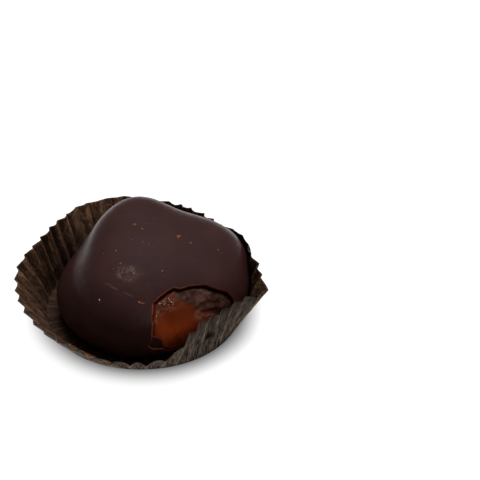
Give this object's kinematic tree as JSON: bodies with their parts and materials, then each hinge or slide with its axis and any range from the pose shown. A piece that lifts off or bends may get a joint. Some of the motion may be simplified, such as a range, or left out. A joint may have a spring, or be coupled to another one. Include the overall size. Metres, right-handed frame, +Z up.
{
  "type": "chocolate dipped apricot",
  "caption": "Dark chocolate coated candied apricot in a fluted brown paper case, with a broken place in the coat that shows the fruit.",
  "frame": {"origin": "on the table, under the centre of the box round the paper case", "axes": "+Z up, -Y towards the side with the broken place in the coat, +X to the right as seen from that side"},
  "size_m": [0.0566, 0.0598, 0.0223],
  "materials": {
    "glassine": "dark brown glassine paper, soft sheen, creased flutes",
    "dark_chocolate": "satin dark chocolate; matte plastic stands in for it",
    "candied_apricot": "moist amber to brown fruit; gloss plastic stands in for it"
  },
  "bodies": {
    "root": {"paper_case": "glassine", "chocolate_shell": "dark_chocolate", "apricot": "candied_apricot"}
  },
  "joints": []
}
